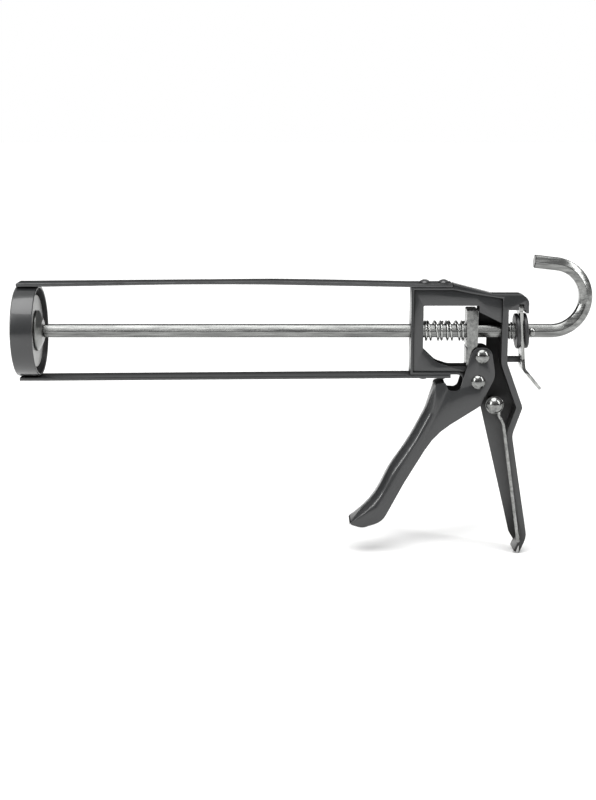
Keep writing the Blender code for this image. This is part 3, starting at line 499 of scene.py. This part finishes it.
def swept(path, section, side, chamfer=0.0):
    """A bar of one section along a path of 3-D points, its ends chamfered and closed."""
    path = [Vector(point) for point in path]
    first, last = (path[1] - path[0]).normalized(), (path[-1] - path[-2]).normalized()
    if chamfer:
        path = [path[0], path[0] + first * chamfer, *path[1:-1],
                path[-1] - last * chamfer, path[-1]]
    reach = max(Vector(point).length for point in section)
    work = bmesh.new()
    side = Vector(side)
    before = first
    rings = []
    for k, here in enumerate(path):
        along = (path[min(k + 1, len(path) - 1)] - path[max(k - 1, 0)]).normalized()
        side = before.rotation_difference(along) @ side
        side = (side - along * side.dot(along)).normalized()
        up = along.cross(side)
        size = 1 - chamfer / reach if chamfer and k in (0, len(path) - 1) else 1
        rings.append([
            work.verts.new(here + (side * a + up * b) * size) for a, b in section
        ])
        before = along
    for low, high in zip(rings, rings[1:]):
        for k in range(len(section)):
            following = (k + 1) % len(section)
            work.faces.new((low[k], low[following], high[following], high[k]))
    work.faces.new(rings[0][::-1])
    work.faces.new(rings[-1])
    return work


corner = ROD_FLATS / math.sqrt(3)
hexagon = filleted(
    [
        (corner * math.cos(math.radians(60 * k)), corner * math.sin(math.radians(60 * k)))
        for k in range(6)
    ],
    0.0007,
    closed=True,
)
boss_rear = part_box("plunger_boss")[1].x
bar_start = boss_rear + 0.0003
bar = [Vector((bar_start + (HOOK_START - bar_start) * k / 30, 0, 0)) for k in range(31)]
for k in range(1, 61):
    angle = HOOK_TURN * k / 60
    bar.append(Vector((
        HOOK_START + HOOK_RADIUS * math.sin(angle),
        0,
        HOOK_RADIUS * (1 - math.cos(angle)),
    )))
bar.append(bar[-1] + HOOK_LEG * Vector((math.cos(HOOK_TURN), 0, math.sin(HOOK_TURN))))
rod = swept(bar, hexagon, (0, 1, 0), chamfer=0.0005)
show("rod", rod, ROD_ZINC, "rod", "zinc_plate", "push_rod", "rod_hook")
rod_end = turned(
    [
        (0, 0),
        *filleted(
            [(PEENED_RADIUS - 0.0003, 0), (PEENED_RADIUS, 0.0002),
             (SPIGOT_RADIUS, PEENED_DEPTH)],
            0.0003,
        ),
        (SPIGOT_RADIUS, bar_start + 0.0015),
        (0, bar_start + 0.0015),
    ],
    (0, 0, 0),
    (1, 0, 0),
    sides=64,
)
show("rod_peened_end", rod_end, ROD_ZINC, "rod", "zinc_plate", "push_rod")

# ---- Stop pin: the cross pin that keeps the rod in the frame ----
# A short length of wire driven through the rod and peened over on both sides.
PIN_RADIUS = 0.0015
PIN_HEAD = 0.0014            # height of each peened head
PIN_ZINC = zinc_plate("zinc_plated_wire", "#747574", "#a6a7a5", (1, 1, 1), 0.00002)
pin_low, pin_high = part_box("rod_stop_pin")
pin_reach = pin_high.y - PIN_HEAD
pin_head = crown((pin_high.x - pin_low.x) / 2, PIN_HEAD, pin_reach, 8)
pin = turned(
    [
        *pin_head,
        (PIN_RADIUS, pin_reach - 0.00005),
        (PIN_RADIUS, 0.00005 - pin_reach),
        *[(radius, -height) for radius, height in pin_head[::-1]],
    ],
    ((pin_low.x + pin_high.x) / 2, 0, 0),
    (0, 1, 0),
    sides=48,
)
show("stop_pin", pin, PIN_ZINC, "rod", "zinc_plate", "rod_stop_pin")


# ---- Plunger: disc and boss on the rod's front end ----
# Blanked steel disc, held against a turned boss by the rod's peened end and zinc plated. Its
# faces keep the rings of the lathe.
PLUNGER_BORE = 0.00335       # radius of the hole through disc and boss
COUNTERSINK_RADIUS = 0.00465
COUNTERSINK_DEPTH = 0.0013
LATHE_RING = 0.0011          # turning marks, drawn coarse enough to show


def faced_zinc():
    """Zinc plate over a lathe-faced blank: fine rings round the rod's axis."""
    made = bpy.data.materials.new("zinc_plated_lathe_face")
    made.use_nodes = True
    tree = made.node_tree
    shader = tree.nodes["Principled BSDF"]
    place = add_node(tree, "TexCoord").outputs["Object"]
    rings = add_node(tree, "TexWave", {
        "wave_type": "RINGS", "rings_direction": "X", "wave_profile": "SIN",
    }, {
        "Vector": place, "Scale": 1 / (20 * LATHE_RING), "Distortion": 0.4, "Detail": 2.0,
    })
    mottle = add_node(tree, "TexNoise", None, {
        "Vector": place, "Scale": 1 / ZINC_MOTTLE, "Detail": 4.0, "Roughness": 0.6,
    })
    colour = add_node(tree, "MixRGB", None, {
        "Fac": mottle.outputs["Fac"], "Color1": linear("#757675"), "Color2": linear("#9fa09e"),
    })
    tree.links.new(colour.outputs["Color"], shader.inputs["Base Color"])
    relief = add_node(tree, "Bump", None, {
        "Strength": 0.3, "Distance": 0.00004, "Height": rings.outputs["Fac"],
    })
    tree.links.new(relief.outputs["Normal"], shader.inputs["Normal"])
    shader.inputs["Roughness"].default_value = 0.34
    shader.inputs["Metallic"].default_value = 1.0
    return made


FACED = faced_zinc()
disc_low, disc_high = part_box("plunger_disc")
disc = filleted(
    [
        (disc_high.z, 0),
        (disc_high.z, disc_high.x),
        (PLUNGER_BORE, disc_high.x),
        (PLUNGER_BORE, COUNTERSINK_DEPTH),
        (COUNTERSINK_RADIUS, 0),
    ],
    0.0004,
    closed=True,
)
show(
    "plunger_plate", turned(disc, (0, 0, 0), (1, 0, 0), hollow=True, sides=128),
    FACED, "rod", "zinc_plate", "plunger_disc",
)
boss_low, boss_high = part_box("plunger_boss")
boss_length = boss_high.x - boss_low.x
boss = filleted(
    [
        (boss_high.z, 0),
        (boss_high.z, 0.0010),
        (boss_high.z * 0.55, boss_length),
        (PLUNGER_BORE, boss_length),
        (PLUNGER_BORE, 0),
    ],
    0.0005,
    closed=True,
)
show(
    "plunger_hub", turned(boss, (boss_low.x, 0, 0), (1, 0, 0), hollow=True),
    FACED, "rod", "zinc_plate", "plunger_boss",
)

# ---- Drive block: grips the rod and pushes it forward ----
# A block sawn from drawn bar and bored for the rod, with a shallow groove across it.
BLOCK_ZINC = zinc_plate("zinc_plated_sawn_block", "#6c6d6c", "#949593", (1, 0.05, 1), 0.00003)
pressed("drive_block", 0.0003, BLOCK_ZINC, "driver", "zinc_plate", "driver_block")


# ---- Coil springs: two behind the frame's seat, one behind the rear wall ----
# Hard-drawn spring wire, coiled with closed ends and zinc plated. The inside of each coil
# is painted darker as shade, and the outside is paler in noisy spots.
SPRING_GRIME = 0.002         # spots of oil and dust on the wire


def spring_wire():
    """Plated spring wire: brighter than the bar, with painted shade on the inside of each coil.
    """
    made = bpy.data.materials.new("zinc_plated_spring_wire")
    made.use_nodes = True
    tree = made.node_tree
    shader = tree.nodes["Principled BSDF"]
    place = add_node(tree, "TexCoord").outputs["Object"]
    axes = add_node(tree, "SeparateXYZ", None, {"Vector": place})
    flat = add_node(tree, "CombineXYZ", None, {"Y": axes.outputs["Y"], "Z": axes.outputs["Z"]})
    away = add_node(tree, "VectorMath", {"operation": "LENGTH"}, {0: flat.outputs["Vector"]})
    # Painted shade: the wire's inner side, towards the rod, is painted dark, and its outer side
    # is paler in noisy spots.
    unshaded_outside = add_node(tree, "MapRange", None, {
        "Value": away.outputs["Value"], "From Min": 0.0050, "From Max": 0.0062,
    })
    grime = add_node(tree, "TexNoise", None, {
        "Vector": place, "Scale": 1 / SPRING_GRIME, "Detail": 4.0, "Roughness": 0.6,
    })
    tone_mask = add_node(tree, "Math", {"operation": "MULTIPLY", "use_clamp": True}, {
        0: unshaded_outside.outputs["Result"], 1: grime.outputs["Fac"],
    })
    lift = add_node(tree, "Math", {"operation": "MULTIPLY_ADD", "use_clamp": True}, {
        0: tone_mask.outputs["Value"], 1: 1.2, 2: 0.15,
    })
    colour = add_node(tree, "MixRGB", None, {
        "Fac": lift.outputs["Value"], "Color1": linear("#3e3e3d"), "Color2": linear("#b2b3b1"),
    })
    tree.links.new(colour.outputs["Color"], shader.inputs["Base Color"])
    relief = add_node(tree, "Bump", None, {
        "Strength": 0.2, "Distance": 0.00002, "Height": grime.outputs["Fac"],
    })
    tree.links.new(relief.outputs["Normal"], shader.inputs["Normal"])
    shader.inputs["Roughness"].default_value = 0.25
    shader.inputs["Metallic"].default_value = 1.0
    return made


SPRING = spring_wire()


def coil(node, name, mean_radius, wire, end_turns, free_turns):
    """A compression spring along the rod, which shortens towards the wall it stands on."""
    low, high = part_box(node)
    per_turn = 40
    first, last = low.x + wire / 2, high.x - wire / 2
    closed = wire * 1.12
    open_pitch = (last - first - 2 * end_turns * closed) / free_turns
    path = []
    for k in range(round((2 * end_turns + free_turns) * per_turn) + 1):
        turn = k / per_turn
        x = first + closed * min(turn, end_turns)
        x += open_pitch * min(max(turn - end_turns, 0), free_turns)
        x += closed * max(turn - end_turns - free_turns, 0)
        angle = 2 * math.pi * turn
        path.append((x, mean_radius * math.cos(angle), mean_radius * math.sin(angle)))
    section = [
        (wire / 2 * math.cos(math.pi * k / 10), wire / 2 * math.sin(math.pi * k / 10))
        for k in range(20)
    ]
    work = swept(path, section, (0, 1, 0), chamfer=0.0002)
    made = show(name, work, SPRING, "frame", "spring_steel", node)
    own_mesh(made)


for node in ("drive_spring_front", "drive_spring_rear"):
    coil(
        node, node + "_coil", mean_radius=0.0059, wire=0.00145, end_turns=1.3, free_turns=1.6,
    )
coil(
    "release_spring", "release_spring_coil", mean_radius=0.00525, wire=0.001, end_turns=0.9,
    free_turns=1.2,
)

# ---- Trigger: pressed channel that straddles the frame ----
# One blank of sheet folded over a rounded front, pierced for its pivot and push pin, and
# enamelled. The fingers' side is the rounded one.
pressed("trigger", 0.00025, ENAMEL, "trigger", "grey_enamel", "squeeze_trigger")

# ---- Trigger rivets: the pivot and the push pin ----
# Plain steel rivets with domed heads, plated before setting.
RIVET_HEAD = 0.0022          # height of each head, with its straight rim
RIVET_DOME = 0.0019          # height of the domed part
RIVET_SHANK = 0.0025
RIVET_ZINC = zinc_plate("zinc_plated_rivet", "#6f706f", "#9c9d9b", (1, 1, 1), 0.00003)
for node, name, body in (
    ("trigger_pivot_rivet", "pivot_rivet", "frame"),
    ("push_pin", "push_pin_rivet", "trigger"),
):
    low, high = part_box(node)
    half = (high.y - low.y) / 2
    edge = half - RIVET_HEAD
    head = [
        *crown((high.x - low.x) / 2 - 0.0001, RIVET_DOME, edge + 0.0003),
        ((high.x - low.x) / 2, edge + 0.00015),
        ((high.x - low.x) / 2 - 0.0001, edge),
    ]
    rivet = turned(
        [
            *head,
            (RIVET_SHANK, edge),
            (RIVET_SHANK, -edge),
            *[(radius, -height) for radius, height in head[::-1]],
        ],
        (low + high) / 2,
        (0, -1, 0),
        sides=64,
    )
    show(name, rivet, RIVET_ZINC, body, "zinc_plate", node)

# ---- Wire rivet: ball-headed rivet through the handle ----
# It carries the piercing wire's eye on one side and stops the trigger with its shank.
BALL_HEIGHT = 0.0040
BALL_SHANK = 0.0022          # radius inside the frame
SPIGOT_END = 0.0016          # radius where it passes the frame's wall
SHOULDER = 0.0057            # from the tool's middle to the step at that wall
ball_low, ball_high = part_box("wire_pivot_rivet")
ball_radius = (ball_high.x - ball_low.x) / 2
ball_middle = Vector(((ball_high.x + ball_low.x) / 2, 0, (ball_high.z + ball_low.z) / 2))
ball_base = -ball_low.y - BALL_HEIGHT
wire_rivet = turned(
    [
        *crown(ball_radius - 0.0002, BALL_HEIGHT - 0.0003, ball_base + 0.0003, 16),
        (ball_radius, ball_base + 0.0002),
        (ball_radius - 0.0002, ball_base),
        (BALL_SHANK, ball_base),
        (BALL_SHANK, -SHOULDER),
        (SPIGOT_END, -SHOULDER),
        (SPIGOT_END, -ball_high.y),
        (0, -ball_high.y),
    ],
    ball_middle,
    (0, -1, 0),
)
show("wire_rivet", wire_rivet, RIVET_ZINC, "frame", "zinc_plate", "wire_pivot_rivet")

# ---- Piercing wire: folds out to open the cartridge's seal ----
# Stiff steel wire with an eye curled round the rivet, a kink that lays it along the handle,
# and a square-cut end.
WIRE_DIAMETER = 0.002
EYE_RADIUS = 0.0036
WIRE_REACH = 0.0934          # from the rivet's middle to the wire's tip
WIRE_BEND = 0.0018           # length of wire taken up by each bend
wire_low, wire_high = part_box("piercing_wire")
wire_y = (wire_low.y + wire_high.y) / 2
leave = math.radians(-8)
wire_path = [
    ball_middle + Vector((EYE_RADIUS * math.cos(a), wire_y, EYE_RADIUS * math.sin(a)))
    for a in (leave + math.radians(270) * (1 - k / 48) for k in range(49))
]
tip_angle = math.atan2(0.0183, -0.0916)
tip = Vector((WIRE_REACH * math.sin(tip_angle), wire_y, WIRE_REACH * math.cos(tip_angle)))
bends = [Vector((0.0030, wire_y, -0.0068)), Vector((0.0061, wire_y, -0.0116)), tip]
eye_end = wire_path[-1] - ball_middle
knots = [eye_end, *bends]
for k in range(1, 3):
    here, before, after = knots[k], knots[k - 1], knots[k + 1]
    start = here.lerp(before, min(0.45, WIRE_BEND / (here - before).length))
    end = here.lerp(after, min(0.45, WIRE_BEND / (here - after).length))
    for step in range(7):
        share = step / 6
        wire_path.append(
            ball_middle
            + start * (1 - share) ** 2 + here * 2 * share * (1 - share) + end * share ** 2
        )
wire_path += [wire_path[-1].lerp(ball_middle + tip, k / 12) for k in range(1, 13)]
round_wire = [
    (WIRE_DIAMETER / 2 * math.cos(math.pi * k / 12),
     WIRE_DIAMETER / 2 * math.sin(math.pi * k / 12))
    for k in range(24)
]
wire = swept(wire_path, round_wire, (0, 1, 0), chamfer=0.0003)
show("seal_wire", wire, PIN_ZINC, "wire", "zinc_plate", "piercing_wire")

# ---- Release lever and brake discs ----
# The lever is a blanked and bent steel plate, zinc plated, hung by its ears in the hood. A
# blackened washer lies on each side of it round the rod.
BLACKING_PATCH = 0.004       # uneven patches of the blacking
LEVER_ZINC = zinc_plate("zinc_plated_blanked_lever", "#8d8e8c", "#b5b6b4", (1, 1, 0.05), 0.00003)
pressed("release_lever", 0.0003, LEVER_ZINC, "release", "zinc_plate", "thumb_lever")


def blackened_steel():
    """Hot-blackened steel washer: near black and oily, in uneven patches."""
    made = bpy.data.materials.new("blackened_steel")
    made.use_nodes = True
    tree = made.node_tree
    shader = tree.nodes["Principled BSDF"]
    place = add_node(tree, "TexCoord").outputs["Object"]
    patches = add_node(tree, "TexNoise", None, {
        "Vector": place, "Scale": 1 / BLACKING_PATCH, "Detail": 5.0, "Roughness": 0.6,
    })
    colour = add_node(tree, "MixRGB", None, {
        "Fac": patches.outputs["Fac"], "Color1": linear("#19191a"), "Color2": linear("#2b2b2c"),
    })
    tree.links.new(colour.outputs["Color"], shader.inputs["Base Color"])
    gloss = add_node(tree, "MapRange", None, {
        "Value": patches.outputs["Fac"], "To Min": 0.32, "To Max": 0.55,
    })
    tree.links.new(gloss.outputs["Result"], shader.inputs["Roughness"])
    relief = add_node(tree, "Bump", None, {
        "Strength": 0.25, "Distance": 0.00003, "Height": patches.outputs["Fac"],
    })
    tree.links.new(relief.outputs["Normal"], shader.inputs["Normal"])
    return made


BLACK = blackened_steel()
for node in ("brake_disc_front", "brake_disc_rear"):
    pressed(node, 0.00015, BLACK, "release", "black_washer", node + "_plate")
